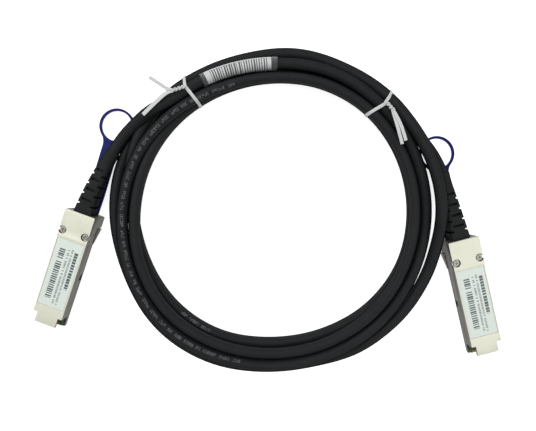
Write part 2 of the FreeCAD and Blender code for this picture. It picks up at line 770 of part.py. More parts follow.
def makeCard(side):
    body = newBody(f"paddle_card_{side}")
    sketch = sketchIn(body, "XY_Plane", "CardSketch", size.cardLedge)
    nose = -size.bodyLength + size.cardSetBack
    shoulder = noseCutEnd - size.slideGap * 2
    rear = -size.cardRear
    wide = size.cardNoseWidth / 2
    narrow = halfBody - size.sideWall - size.slideGap
    drawOutline(sketch, [
        (nose, -wide), (shoulder, -wide), (shoulder, -narrow), (rear, -narrow),
        (rear, narrow), (shoulder, narrow), (shoulder, wide), (nose, wide),
    ])
    extrude(body, "Pad", sketch, "Card", size.cardThickness)
    finish(body, f"paddle_card_{side}", ends[side].frame)


def makeBlocks(side, label, blocks):
    # Several equal small blocks as one node: each is a place with its three sizes.
    solids = []
    for index, (corner, sides) in enumerate(blocks):
        box = doc.addObject("Part::Box", f"{label}_{side}_{index}")
        for name, length in zip(("Length", "Width", "Height"), sides):
            box.setExpression(name, length.text)
        box.Placement.Base = Vector(*(asSize(value).value for value in corner))
        solids.append(box)
    group = doc.addObject("Part::Compound", f"{label}_{side}")
    group.Links = solids
    finish(group, f"{label}_{side}", ends[side].frame)


def makePads(side):
    nose = -size.bodyLength + size.cardSetBack + size.padSetBack
    sides = (size.padLength, size.padWidth, size.padThickness)
    blocks = []
    for row in range(padCount):
        across = size.padPitch * (row - (padCount - 1) / 2) - size.padWidth / 2
        for up in (size.cardLedge + size.cardThickness, size.cardLedge - size.padThickness):
            blocks.append(((nose, across, up), sides))
    makeBlocks(side, "contact_pads", blocks)


def makeChip(side):
    top = size.cardLedge + size.cardThickness
    corner = (-size.chipFromRear, -size.chipWidth / 2, top)
    makeBlocks(side, "memory_chip", [(corner, (size.chipLength, size.chipWidth, size.chipHeight))])


def makeCapacitors(side):
    top = size.cardLedge + size.cardThickness
    sides = (size.capacitorLength, size.capacitorWidth, size.capacitorWidth)
    blocks = []
    for pair in range(capacitorPairs):
        for partner in (0, 1):
            lane = (pair - (capacitorPairs - 1) / 2) * 4 + partner - 0.5
            across = lane * size.padPitch - size.capacitorWidth / 2
            blocks.append(((-size.bodyLength + size.capacitorFromNose, across, top), sides))
    makeBlocks(side, "coupling_capacitors", blocks)


def makeCover(side):
    body = newBody(f"solder_cover_{side}")
    rear = -size.cardRear + size.coverBehindCard
    front = rear - size.coverLength
    padSection(body, "Cover", [
        (front, size.floorThickness + size.coverGap), (rear, size.floorThickness + size.coverGap),
        (rear, lidSplit - size.coverGap), (front, lidSplit - size.coverGap),
    ], size.coverHalf * 2)
    low = size.cardLedge - size.faceGap
    high = size.cardLedge + size.cardThickness + size.faceGap
    sketch = sketchIn(body, "XZ_Plane", "SlotSketch")
    drawRectangle(sketch, front - beyond, -size.cardRear + size.faceGap, low, high)
    extrude(body, "Pocket", sketch, "Slot", size.coverHalf * 2 + beyond, symmetric=True)
    finish(body, f"solder_cover_{side}", ends[side].frame)


def makeWires(side):
    # Eight cores, an upper and a lower row, drawn together from the card to the crimp.
    front = -size.cardRear + size.coverBehindCard + size.coverGap
    rear = -size.rearWall - size.flangeThickness - size.ferruleLength + size.wireInFerrule
    cardMiddle = size.cardLedge + size.cardThickness / 2
    wires = []
    for column in (-1.5, -0.5, 0.5, 1.5):
        for row in (1, -1):
            start, end = (Vector(*(value.value for value in spot)) for spot in (
                (front, size.wireSpacing * column, cardMiddle + size.wireLift * row),
                (rear, size.wireGather * column, size.cableAxis + size.wireGatherLift * row),
            ))
            wire = doc.addObject("Part::Cylinder", f"wire_{side}_{len(wires)}")
            wire.setExpression("Radius", size.wireRadius.text)
            wire.Height = (end - start).Length
            wire.Placement = Placement(start, Rotation(Vector(0, 0, 1), end - start))
            wires.append(wire)
    group = doc.addObject("Part::Compound", f"wire_pairs_{side}")
    group.Links = wires
    finish(group, f"wire_pairs_{side}", ends[side].frame)


def makeFerrule(side):
    body = newBody(f"crimp_ferrule_{side}")
    rear = -(size.rearWall + size.collarGap + size.flangeThickness)
    sketch = sketchIn(body, "YZ_Plane", "RingSketch", rear)
    drawCircle(sketch, 0, size.cableAxis, size.ferruleRadius)
    drawCircle(sketch, 0, size.cableAxis, size.ferruleRadius - size.ferruleWall)
    extrude(body, "Pad", sketch, "Ring", size.ferruleLength, backwards=True)
    finish(body, f"crimp_ferrule_{side}", ends[side].frame)


# ---- cable ----

def cordTube(label, points, radius):
    # Straight runs joined by tangent arcs, each arc as large as its two runs allow.
    edges = []
    radii = []
    at = points[0]
    for before, corner, after in zip(points, points[1:], points[2:]):
        arriving = (corner - before).normalize()
        leaving = (after - corner).normalize()
        turn = arriving.getAngle(leaving)
        reach = 0.45 * min((corner - before).Length, (after - corner).Length)
        radii.append(reach / math.tan(turn / 2))
        start, end = corner - arriving * reach, corner + leaving * reach
        middle = corner + (leaving - arriving).normalize() * (
            radii[-1] * (1 / math.cos(turn / 2) - 1)
        )
        edges.append(Part.LineSegment(at, start).toShape())
        edges.append(Part.Arc(start, middle, end).toShape())
        at = end
    edges.append(Part.LineSegment(at, points[-1]).toShape())
    path = Part.Wire(edges)
    section = Part.Wire([Part.Circle(points[0], points[1] - points[0], radius).toShape()])
    tube = path.makePipeShell([section], True, True)
    expected = math.pi * radius ** 2 * path.Length
    print(f"{label}: length {path.Length:.1f}, radii {[round(value) for value in radii]}, "
          f"volume share {tube.Volume / expected:.4f}")
    feature = doc.addObject("Part::Feature", label)
    feature.Shape = tube
    finish(feature, label)


def makeLead(side):
    end = ends[side].frame * reliefStation(side, size.reliefLength.value)
    exitPoint = end.Base
    print(f"exit {side}: {exitPoint}")
    ahead = end.multVec(Vector(size.leadStraight.value, 0, 0))
    points = [exitPoint, ahead] + [Vector(*point) for point in leadRoutes[side]]
    cordTube(f"lead_{side}", points, size.cableRadius.value)


coilCentres = [
    (size.coilRadius - size.coilWidth + size.cableRadius, size.coilLift + size.cableRadius),
    (size.coilRadius - size.cableRadius, size.coilLift + size.cableRadius),
    (size.coilTopOuter, size.coilLift + size.cableRadius + size.coilRise),
    (size.coilTopInner, size.coilLift + size.cableRadius + size.coilRise),
]
coilTop = size.coilLift + size.cableRadius * 2 + size.coilRise
coilMiddle = Vector(size.coilX.value, size.coilY.value, 0)


def makeCoil():
    # The outer shape of the tied turns: a bottom row and a narrower row lying in it.
    body = newBody("cable_coil")
    sketch = sketchIn(body, "XZ_Plane", "TurnsSketch")
    drawHull(sketch, coilCentres, size.cableRadius)
    turned = body.newObject("PartDesign::Revolution", "Turns")
    turned.Profile = sketch
    turned.ReferenceAxis = (sketch, ["V_Axis"])
    turned.Angle = 360
    finish(body, "cable_coil", Placement(coilMiddle, Rotation()))


def atAzimuth(azimuth):
    # A frame whose x axis points from the coil's middle outwards, clockwise from +Y.
    return Placement(coilMiddle, Rotation(Vector(0, 0, 1), 90 - azimuth))


def tiePoint(azimuth, inwards, above):
    # A place given from the coil's outside and its top.
    return atAzimuth(azimuth).multVec(Vector((size.coilRadius - inwards).value, 0, (coilTop + above).value))


def makeTie(label, azimuth, centres, knot, tails):
    # The twist's two ends and the tails' ends are given past the tie's own azimuth: how many
    # degrees round, how far in from the coil's outside and how far above its top.
    place = atAzimuth(azimuth)
    body = newBody(f"{label}_band")
    inner = size.cableRadius + size.tieGap
    sketch = sketchIn(body, "XZ_Plane", "BandSketch")
    drawHull(sketch, centres, inner + size.tieThickness)
    drawHull(sketch, centres, inner)
    extrude(body, "Pad", sketch, "Band", size.tieWidth, symmetric=True)
    body.Placement = place
    pieces = [body]
    start, end = (tiePoint(azimuth + turn, inwards, above) for turn, inwards, above in knot)
    twist = doc.addObject("Part::Cylinder", f"{label}_twist")
    twist.setExpression("Radius", size.tieTwistRadius.text)
    twist.Height = (end - start).Length
    twist.Placement = Placement(start, Rotation(Vector(0, 0, 1), end - start))
    pieces.append(twist)
    for index, (turn, inwards, above) in enumerate(tails):
        along = tiePoint(azimuth + turn, inwards, above) - end
        tail = doc.addObject("Part::Box", f"{label}_tail{index}")
        tail.Length = along.Length
        tail.setExpression("Width", size.tieWidth.text)
        tail.setExpression("Height", size.tieThickness.text)
        lay = Rotation(Vector(0, 0, 1), math.degrees(math.atan2(along.y, along.x)))
        lay = lay * Rotation(Vector(0, 1, 0), -math.degrees(math.asin(along.z / along.Length)))
        shift = -Vector(size.tieTailBack.value, size.tieWidth.value / 2, size.tieThickness.value / 2)
        tail.Placement = Placement(end + lay.multVec(shift), lay)
        pieces.append(tail)
    tie = doc.addObject("Part::MultiFuse", label)
    tie.Shapes = pieces
    finish(tie, label)


def rimPoint(centre, reach, angle):
    return centre[0] + reach * math.cos(angle), centre[1] + reach * math.sin(angle)


def makeWrap(label, start, end, gap, thickness, spread):
    # A film bent round the upper outer turn: a curved strip swept along the coil.
    body = newBody(label)
    sketch = sketchIn(body, "XZ_Plane", "WrapSketch")
    centre = coilCentres[2]
    near = (size.cableRadius + gap)
    far = near + thickness
    low, high = (math.radians(angle) for angle in spread)
    spots = []
    for reach in (near, far):
        circle = Part.Circle(flat(centre), Vector(0, 0, 1), reach.value)
        spots.append(sketch.addGeometry(Part.ArcOfCircle(circle, low, high), False))
        pinPoint(sketch, spots[-1], 3, *centre)
        setRadius(sketch, spots[-1], reach)
    for point, angle in ((1, low), (2, high)):
        for piece, reach in zip(spots, (near, far)):
            pinAcross(sketch, piece, point, centre[0] + reach * math.cos(angle))
        line = Part.LineSegment(flat(rimPoint(centre, near, angle)), flat(rimPoint(centre, far, angle)))
        edge = sketch.addGeometry(line, False)
        sketch.addConstraint(Sketcher.Constraint("Coincident", edge, 1, spots[0], point))
        sketch.addConstraint(Sketcher.Constraint("Coincident", edge, 2, spots[1], point))
    turned = body.newObject("PartDesign::Revolution", "Wrap")
    turned.Profile = sketch
    turned.ReferenceAxis = (sketch, ["V_Axis"])
    turned.setExpression("Angle", (end - start).text)
    turned.Reversed = True
    finish(body, label, atAzimuth(start.value))


# ---- build ----

for side in ("left", "right"):
    makeLid(side)
    makeBase(side)
    makeScrews(side)
    makeLabel(side)
    makeSlider(side)
    makeSprings(side)
    makePullTab(side)
    makeRelief(side)
    makeCard(side)
    makePads(side)
    makeChip(side)
    makeCapacitors(side)
    makeCover(side)
    makeWires(side)
    makeFerrule(side)
    makeLead(side)
makeCoil()
cordTube("loose_turn", [Vector(*point) for point in looseRoute], size.cableRadius.value)
makeTie("twist_tie_left", size.tieLeftAzimuth.value, coilCentres,
        ((0.0, 10.5, 1.5), (-7.65, 6.35, 2.6)), [(-19.7, 3.07, 1.8), (-9.7, -1.1, 16.4)])
raised = (size.coilRadius + size.looseReach, size.coilLift + size.cableRadius + size.looseRise)
makeTie("twist_tie_right", size.tieRightAzimuth.value, [*coilCentres[:2], raised, coilCentres[3]],
        ((0.0, 5.46, 0.7), (6.05, 5.22, 2.0)), [(17.5, 11.63, 5.0), (17.4, 8.5, 5.2)])
makeWrap("cable_label", size.labelFrom, size.labelTo, size.wrapGap, size.wrapThickness, (34.0, 96.0))
makeWrap("label_sleeve", size.sleeveFrom, size.sleeveTo, size.sleeveGap, size.sleeveThickness,
         (26.0, 104.0))
doc.recompute()

# ---- checks and files ----

for item in doc.Objects:
    if "Invalid" in item.State or "Error" in item.State:
        raise RuntimeError(f"{item.Name} in {[parent.Name for parent in item.InList]} failed: {item.State}")
    if item.TypeId == "PartDesign::Pocket":
        if item.BaseFeature.Shape.Volume - item.Shape.Volume < 0.01:
            raise RuntimeError(f"{item.Name} of {item.InList} cuts nothing")
os.makedirs("parts", exist_ok=True)
for node in nodes:
    if node.Shape.isNull() or not node.Shape.isValid() or not node.Shape.Solids:
        raise RuntimeError(f"{node.Label} is not a valid solid")
    node.Shape.exportStep(f"parts/{node.Label}.step")
print(f"{len(nodes)} nodes")
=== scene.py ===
import json
import math
import random

import bpy
from mathutils import Matrix, Vector


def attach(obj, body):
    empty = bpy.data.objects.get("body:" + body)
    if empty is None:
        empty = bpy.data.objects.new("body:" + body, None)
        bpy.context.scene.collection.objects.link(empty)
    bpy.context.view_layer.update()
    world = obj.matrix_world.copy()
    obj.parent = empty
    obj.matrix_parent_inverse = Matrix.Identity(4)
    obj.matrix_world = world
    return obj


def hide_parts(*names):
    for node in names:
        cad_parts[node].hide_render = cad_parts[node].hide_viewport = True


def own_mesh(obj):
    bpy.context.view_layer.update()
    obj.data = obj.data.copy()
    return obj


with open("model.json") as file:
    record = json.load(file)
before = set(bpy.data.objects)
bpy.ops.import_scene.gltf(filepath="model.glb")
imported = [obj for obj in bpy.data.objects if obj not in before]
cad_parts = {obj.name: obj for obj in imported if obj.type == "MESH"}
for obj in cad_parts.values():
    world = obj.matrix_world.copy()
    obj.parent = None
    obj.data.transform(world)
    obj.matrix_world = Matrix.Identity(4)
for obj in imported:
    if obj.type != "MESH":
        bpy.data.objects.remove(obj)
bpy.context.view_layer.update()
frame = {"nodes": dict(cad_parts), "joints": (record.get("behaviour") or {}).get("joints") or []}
mm = 0.001
rootBody = "cable_and_shells"
sides = ("left", "right")
print("frame loaded")


view = {"x": 0.763 * mm, "y": 10.063 * mm, "height": 235 * mm, "lens": 25.0, "sensor": 36.0}


def makeCamera():
    data = bpy.data.cameras.new("camera")
    data.sensor_width = view["sensor"]
    data.lens = view["lens"]
    data.clip_start = 0.01
    camera = bpy.data.objects.new("camera", data)
    camera.location = (view["x"], view["y"], view["height"])
    bpy.context.scene.collection.objects.link(camera)
    bpy.context.scene.camera = camera


makeCamera()


def newMaterial(name):
    material = bpy.data.materials.new(name)
    material.use_nodes = True
    return material, material.node_tree.nodes, material.node_tree.links


def addNode(nodes, kind, **values):
    node = nodes.new(kind)
    for key, value in values.items():
        if hasattr(node, key):
            setattr(node, key, value)
        else:
            node.inputs[key].default_value = value
    return node


def mixColours(nodes, links, factor, first, second):
    mix = nodes.new("ShaderNodeMix")
    mix.data_type = "RGBA"
    for socket, value in ((mix.inputs[0], factor), (mix.inputs[6], first), (mix.inputs[7], second)):
        if isinstance(value, bpy.types.NodeSocket):
            links.new(value, socket)
        else:
            socket.default_value = value
    return mix.outputs[2]


fineGrain = {"detail": 6.0, "roughness": 0.6, "height": 0.2 * mm, "spread": (0.3, 0.7), "broad": 12}


def makeGrainGroup():
    # Shared fine grain: gives a value for roughness or colour and a bumped normal.
    tree = bpy.data.node_groups.new("fineGrain", "ShaderNodeTree")
    for name, way, kind in (
        ("Scale", "INPUT", "NodeSocketFloat"), ("Depth", "INPUT", "NodeSocketFloat"),
        ("Value", "OUTPUT", "NodeSocketFloat"), ("Normal", "OUTPUT", "NodeSocketVector"),
    ):
        tree.interface.new_socket(name, in_out=way, socket_type=kind)
    nodes, links = tree.nodes, tree.links
    inside = nodes.new("NodeGroupInput")
    out = nodes.new("NodeGroupOutput")
    place = nodes.new("ShaderNodeTexCoord")
    noise = addNode(nodes, "ShaderNodeTexNoise", Detail=fineGrain["detail"], Roughness=fineGrain["roughness"])
    bump = addNode(nodes, "ShaderNodeBump", Distance=fineGrain["height"])
    links.new(place.outputs["Object"], noise.inputs["Vector"])
    links.new(inside.outputs["Scale"], noise.inputs["Scale"])
    links.new(inside.outputs["Depth"], bump.inputs["Strength"])
    links.new(noise.outputs["Fac"], bump.inputs["Height"])
    links.new(noise.outputs["Fac"], out.inputs["Value"])
    links.new(bump.outputs["Normal"], out.inputs["Normal"])
    return tree


grainTree = makeGrainGroup()


def addGrain(nodes, scale, depth):
    group = nodes.new("ShaderNodeGroup")
    group.node_tree = grainTree
    group.inputs["Scale"].default_value = scale
    group.inputs["Depth"].default_value = depth
    return group


def mapRange(nodes, links, value, low, high, spread=fineGrain["spread"]):
    node = nodes.new("ShaderNodeMapRange")
    links.new(value, node.inputs["Value"])
    for name, number in zip(("From Min", "From Max", "To Min", "To Max"), (*spread, low, high)):
        node.inputs[name].default_value = number
    return node.outputs["Result"]


def grainSurface(nodes, links, scale, depth, rough):
    # Fine grain on the shader's roughness and normal.
    shader = nodes["Principled BSDF"]
    grain = addGrain(nodes, scale, depth)
    links.new(mapRange(nodes, links, grain.outputs["Value"], *rough), shader.inputs["Roughness"])
    links.new(grain.outputs["Normal"], shader.inputs["Normal"])
    return shader


def drift(name, dark, light, grain, rough, metal=0.0, shine=0.5):
    # A surface whose colour drifts between two tones over its grain.
    material, nodes, links = newMaterial(name)
    scale, depth = grain
    shader = grainSurface(nodes, links, scale, depth, rough)
    broad = addGrain(nodes, scale / fineGrain["broad"], 0.0)
    tone = mixColours(nodes, links, broad.outputs["Value"], (*dark, 1), (*light, 1))
    links.new(tone, shader.inputs["Base Color"])
    shader.inputs["Metallic"].default_value = metal
    shader.inputs["Specular IOR Level"].default_value = shine
    return material


coil = {"x": 2.32, "y": 13.61, "pointsPerTurn": 16, "diameter": 7.0, "roundness": 6, "partsPerPoint": 8}
leadRoutes = {
    "left": [(-93.5, 48.6, 8.0), (-88.9, 56.8, 7.4), (-79.7, 64.9, 10.4), (-69.7, 72.1, 14.2),
             (-59.5, 77.4, 14.0)],
    "right": [(106.8, 35.4, 8.0), (103.8, 44.2, 7.2), (96.2, 55.6, 6.0), (88.4, 64.2, 4.6),
              (80.3, 70.9, 4.2), (71.6, 75.9, 4.1)],
}
looseRoute = [
    (28.0, 109.2, 4.8), (55.9, 97.1, 6.0), (74.5, 81.9, 9.6), (86.9, 63.9, 13.8),
    (97.0, 46.1, 14.6), (102.8, 27.1, 15.0), (104.4, 8.6, 14.0), (103.2, -10.8, 7.6),
    (98.3, -29.3, 4.1), (84.3, -50.9, 4.1), (61.7, -69.6, 4.1), (41.0, -77.9, 4.1),
]
# Distance from the coil's middle and height at each sixteenth of a turn, clockwise. The first
# stretch begins past the left lead's end, the second where the loose turn comes back.
firstTurns = {"start": -1, "stations": [
    (87.2, 11.8), (87.5, 11.0), (90.7, 10.9), (91.2, 11.1),
    (94.0, 8.6), (96.2, 4.4), (96.1, 4.8), (94.8, 8.8),
    (94.1, 10.3), (93.8, 10.9), (94.4, 11.0), (94.9, 11.1),
    (92.4, 10.9), (89.2, 10.7), (86.6, 11.2), (82.8, 10.7),
    (78.8, 10.8), (79.2, 10.9), (82.3, 11.0), (84.2, 11.0),
    (86.0, 11.0), (86.7, 11.1), (87.0, 11.1), (87.3, 11.1),
    (86.9, 10.9), (86.4, 10.8), (87.1, 10.9), (87.6, 10.9),
    (85.2, 10.8), (81.8, 10.0), (80.6, 8.5), (80.2, 6.2),
    (80.1, 4.6), (81.6, 4.1), (84.6, 4.1), (86.9, 4.1),
    (87.6, 4.1), (88.0, 4.1), (88.4, 4.1), (86.3, 4.1),
    (83.2, 4.1), (81.9, 4.5), (83.9, 4.1), (84.3, 4.1),
    (83.7, 4.1), (84.7, 5.0), (91.8, 7.8), (93.2, 8.0),
    (92.7, 6.6), (95.3, 4.4),
]}
lastTurn = {"start": 8, "stations": [
    (96.5, 4.1), (98.8, 4.1), (99.1, 4.1), (95.6, 4.1), (96.4, 4.1), (96.6, 3.9), (89.2, 3.6), (87.1, 3.9),
    (89.4, 4.1), (91.5, 4.1),
]}


def coilPoints(stretch):
    # Control points sit a little outside the line they shape.
    step = 2 * math.pi / coil["pointsPerTurn"]
    outside = 1 / (0.75 + 0.25 * math.cos(step))
    points = []
    for count, (radius, height) in enumerate(stretch["stations"], start=stretch["start"]):
        across, ahead = math.sin(count * step), math.cos(count * step)
        points.append((coil["x"] + radius * outside * across, coil["y"] + radius * outside * ahead, height))
    return points


def makeCable():
    points = leadRoutes["left"] + coilPoints(firstTurns) + looseRoute
    points += coilPoints(lastTurn) + leadRoutes["right"][::-1]
    curve = bpy.data.curves.new("cable", "CURVE")
    curve.dimensions = "3D"
    curve.bevel_depth = coil["diameter"] / 2 * mm
    curve.bevel_resolution = coil["roundness"]
    curve.use_fill_caps = True
    spline = curve.splines.new("NURBS")
    spline.points.add(len(points) - 1)
    for point, place in zip(spline.points, points):
        point.co = (place[0] * mm, place[1] * mm, place[2] * mm, 1)
    spline.order_u = 3
    spline.use_endpoint_u = True
    spline.resolution_u = coil["partsPerPoint"]
    cable = bpy.data.objects.new("cable", curve)
    bpy.context.scene.collection.objects.link(cable)
    return cable


def lineOf(curveObject):
    # Points along the cable's own middle line, from a copy with no thickness.
    bare = curveObject.copy()
    bare.data = curveObject.data.copy()
    bare.data.bevel_depth = 0
    bpy.context.scene.collection.objects.link(bare)
    bpy.context.view_layer.update()
    mesh = bpy.data.meshes.new_from_object(bare.evaluated_get(bpy.context.evaluated_depsgraph_get()))
    points = [vertex.co.copy() for vertex in mesh.vertices]
    bpy.data.meshes.remove(mesh)
    data = bare.data
    bpy.data.objects.remove(bare)
    bpy.data.curves.remove(data)
    return points


def turnAngles(points):
    # How far round the coil each point is, in degrees clockwise from +Y, counted on past 360.
    found = []
    for point in points:
        angle = math.degrees(math.atan2(point.x - coil["x"] * mm, point.y - coil["y"] * mm))
        if found:
            while angle < found[-1] - 180:
                angle += 360
        found.append(angle)
    return found


def distances(points):
    run = [0.0]
    for a, b in zip(points, points[1:]):
        run.append(run[-1] + (b - a).length)
    return run


cable = makeCable()
cableLine = lineOf(cable)
cableAngles = turnAngles(cableLine)
cableLength = distances(cableLine)[-1]
print(f"cable {cableLength:.3f} m, turns {(cableAngles[-1] - cableAngles[0]) / 360:.2f}")


def editAll(*steps):
    # Edit-mode operators on the whole active mesh.
    bpy.ops.object.mode_set(mode="EDIT")
    bpy.ops.mesh.select_all(action="SELECT")
    for step, settings in steps:
        step(**settings)
    bpy.ops.object.mode_set(mode="OBJECT")


def applyModifier(kind, **settings):
    item = bpy.context.object
    modifier = item.modifiers.new(kind.lower(), kind)
    for key, value in settings.items():
        setattr(modifier, key, value)
    bpy.ops.object.modifier_apply(modifier=modifier.name)


def easeEdges(width, segments, sharp):
    applyModifier("BEVEL", width=width * mm, segments=segments, limit_method="ANGLE",
                  angle_limit=math.radians(sharp))


def bentGrid(columns, rows, place):
    # A grid whose points go where place says, from their shares along and across it.
    bpy.ops.object.select_all(action="DESELECT")
    bpy.ops.mesh.primitive_grid_add(x_subdivisions=columns, y_subdivisions=rows, size=1)
    item = bpy.context.object
    for vertex in item.data.vertices:
        vertex.co = place(min(max(vertex.co.x + 0.5, 0), 1), min(max(vertex.co.y + 0.5, 0), 1))
    return item


def joinPieces(items):
    bpy.ops.object.select_all(action="DESELECT")
    for item in items:
        item.select_set(True)
    bpy.context.view_layer.objects.active = items[0]
    bpy.ops.object.join()
    return bpy.context.object


def finishPiece(item, name, material, body=rootBody, slot=None, smooth=40):
    item.name = name
    item.data.name = name
    item.data.materials.append(material)
    bpy.ops.object.shade_smooth_by_angle(angle=math.radians(smooth))
    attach(item, body)
    return item


def partOfLine(start, end):
    # The middle line between two turn angles, cut at its ends.
    picked = []
    for (a, b), (p, q) in zip(zip(cableAngles, cableAngles[1:]), zip(cableLine, cableLine[1:])):
        if b > a and a < start <= b:
            picked.append(p.lerp(q, (start - a) / (b - a)))
        if start < b < end:
            picked.append(q)
        if b > a and a < end <= b:
            picked.append(p.lerp(q, (end - a) / (b - a)))
            break
    return picked


def framesAlong(points):
    # At each point: place, direction, up, and outward across the cable.
    found = []
    for index, point in enumerate(points):
        before = points[max(index - 1, 0)]
        after = points[min(index + 1, len(points) - 1)]
        along = (after - before).normalized()
        across = along.cross(Vector((0, 0, 1))).normalized()
        up = across.cross(along).normalized()
        outward = Vector((point.x - coil["x"] * mm, point.y - coil["y"] * mm, 0))
        if across.dot(outward) < 0:
            across = -across
        found.append((point, along, up, across))
    return found


def shareAlong(run, frames, share):
    # Place, up and outward at a share of the way along a line.
    target = share * run[-1]
    index = next((i for i, value in enumerate(run) if value >= target and i), len(run) - 1)
    part = (target - run[index - 1]) / max(run[index] - run[index - 1], 1e-9)
    return [frames[index - 1][k].lerp(frames[index][k], part) for k in (0, 2, 3)]


def wrapFilm(points, radius, thickness, low, high, parts):
    # A film bent round the cable from angle low to high (0 is up, positive outwards).
    frames = framesAlong(points)
    run = distances(points)

    def place(along, around):
        point, up, across = shareAlong(run, frames, along)
        angle = math.radians(low + (high - low) * around)
        return point + (up * math.cos(angle) + across * math.sin(angle)) * radius

    item = bentGrid(len(points), parts, place)
    applyModifier("SOLIDIFY", thickness=thickness, offset=1)
    return item


# Near-black colour painted at turned-away edges as shade.
paintedEdgeShadeBlack = (0.0015, 0.0016, 0.0018, 1)


def shineLossAndPaintedEdgeShade(material, shine, depth):
    # Matt black loses its shine where it turns away, and its colour is darkened towards black there: painted
    # shade at the edges and between strands.
    nodes, links = material.node_tree.nodes, material.node_tree.links
    shader = nodes["Principled BSDF"]
    edge = addNode(nodes, "ShaderNodeLayerWeight", Blend=0.5)
    links.new(mapRange(nodes, links, edge.outputs["Facing"], shine, 0.0), shader.inputs["Specular IOR Level"])
    tone = shader.inputs["Base Color"]
    paintedShadeShare = mapRange(nodes, links, edge.outputs["Facing"], 0.0, depth)
    links.new(mixColours(nodes, links, paintedShadeShare, tone.links[0].from_socket, paintedEdgeShadeBlack), tone)


jacket = drift("jacket", (0.0110, 0.0122, 0.0130), (0.0200, 0.0214, 0.0226), (900, 0.12), (0.52, 0.66))
# The jacket's edges take painted shade, darkened towards black where strands meet.
shineLossAndPaintedEdgeShade(jacket, 0.15, 0.85)
cable.data.materials.append(jacket)
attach(cable, rootBody)
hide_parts("cable_coil", "loose_turn", "lead_left", "lead_right")


# Letters are plain strokes in groups, unreadable. Tilts say how far round the cable the row lies
# (0 is up, negative towards the coil's middle) at each turn angle.
# A stroke keeps the bands of its height that its shape names.
printing = {
    "height": 1.9, "stroke": (0.3, 0.85), "gap": 0.42, "letters": (3, 8), "space": (1.5, 2.4), "lift": 0.03,
    "bands": 3, "shapes": ((0, 1, 2), (0, 2), (1, 2), (0, 1), (0, 1, 2)), "margins": (0.6, 4), "seed": 7,
}
printRows = [
    [(191, -36), (205, -30), (216, -24), (240, -24), (258, -28), (274, -14), (296, -14), (315, -15),
     (330, -26), (347, -28)],
    [(926, -18), (941, -22)],
]


def tiltAt(row, angle):
    for (a, low), (b, high) in zip(row, row[1:]):
        if angle <= b:
            return low + (high - low) * (angle - a) / (b - a)
    return row[-1][1]


def printRow(row):
    points = partOfLine(row[0][0], row[-1][0])
    frames = framesAlong(points)
    run = distances(points)
    length = run[-1] / mm
    first, last = printing["margins"]
    stops, at = [], first
    while at < length - last:
        for _ in range(random.randint(*printing["letters"])):
            wide = random.uniform(*printing["stroke"])
            stops += [at, at + wide]
            at += wide + printing["gap"]
        at += random.uniform(*printing["space"])
    reach = (coil["diameter"] / 2 + printing["lift"]) * mm
    columns = len(stops) - 1

    def place(along, around):
        share = min(stops[round(along * columns)] / length, 1)
        point, up, across = shareAlong(run, frames, share)
        tilt = math.radians(tiltAt(row, row[0][0] + (row[-1][0] - row[0][0]) * share))
        angle = tilt + (around - 0.5) * printing["height"] * mm / reach
        return point + (up * math.cos(angle) + across * math.sin(angle)) * reach

    item = bentGrid(columns, printing["bands"], place)
    bpy.ops.object.mode_set(mode="EDIT")
    bpy.ops.mesh.select_mode(type="FACE")
    bpy.ops.mesh.select_all(action="DESELECT")
    bpy.ops.object.mode_set(mode="OBJECT")
    shapes = [random.choice(printing["shapes"]) for _ in range(columns)]
    for face in item.data.polygons:
        band, column = divmod(face.index, columns)
        face.select = column % 2 == 1 or band not in shapes[column]
    bpy.ops.object.mode_set(mode="EDIT")
    bpy.ops.mesh.delete(type="FACE")
    bpy.ops.object.mode_set(mode="OBJECT")
    return item


def printJacket():
    random.seed(printing["seed"])
    ink = drift("printInk", (0.052, 0.058, 0.064), (0.125, 0.133, 0.14), (1500, 0.0), (0.6, 0.7))
    item = joinPieces([printRow(row) for row in printRows])
    return finishPiece(item, "jacket_print", ink, slot="jacket")


jacketPrint = printJacket()


def mathNode(nodes, links, operation, first, second=0.0):
    node = addNode(nodes, "ShaderNodeMath", operation=operation)
    for socket, value in zip(node.inputs, (first, second)):
        if isinstance(value, bpy.types.NodeSocket):
            links.new(value, socket)
        else:
            socket.default_value = value
    return node.outputs[0]


def insideOf(nodes, links, mask, value, low, high):
    # Keeps the mask only where the value lies between the two edges.
    for operation, edge in (("GREATER_THAN", low), ("LESS_THAN", high)):
        mask = mathNode(nodes, links, "MULTIPLY", mask, mathNode(nodes, links, operation, value, edge))
    return mask


def strokeMask(nodes, links, along, row):
    # Strokes at an even pitch, each of its own width, some left out.
    scaled = mathNode(nodes, links, "MULTIPLY", along, row["strokes"])
    cell = mathNode(nodes, links, "FLOOR", scaled)
    noises = []
    for offset in (row["seed"], row["seed"] + 0.37):
        noise = nodes.new("ShaderNodeTexWhiteNoise")
        noise.noise_dimensions = "1D"
        links.new(mathNode(nodes, links, "ADD", cell, offset), noise.inputs["W"])
        noises.append(noise.outputs["Value"])
    extra = mathNode(nodes, links, "MULTIPLY", noises[0], row["spread"])
    width = mathNode(nodes, links, "ADD", extra, row["width"])
    stroke = mathNode(nodes, links, "LESS_THAN", mathNode(nodes, links, "FRACT", scaled), width)
    kept = mathNode(nodes, links, "LESS_THAN", noises[1], row["kept"])
    return mathNode(nodes, links, "MULTIPLY", stroke, kept)


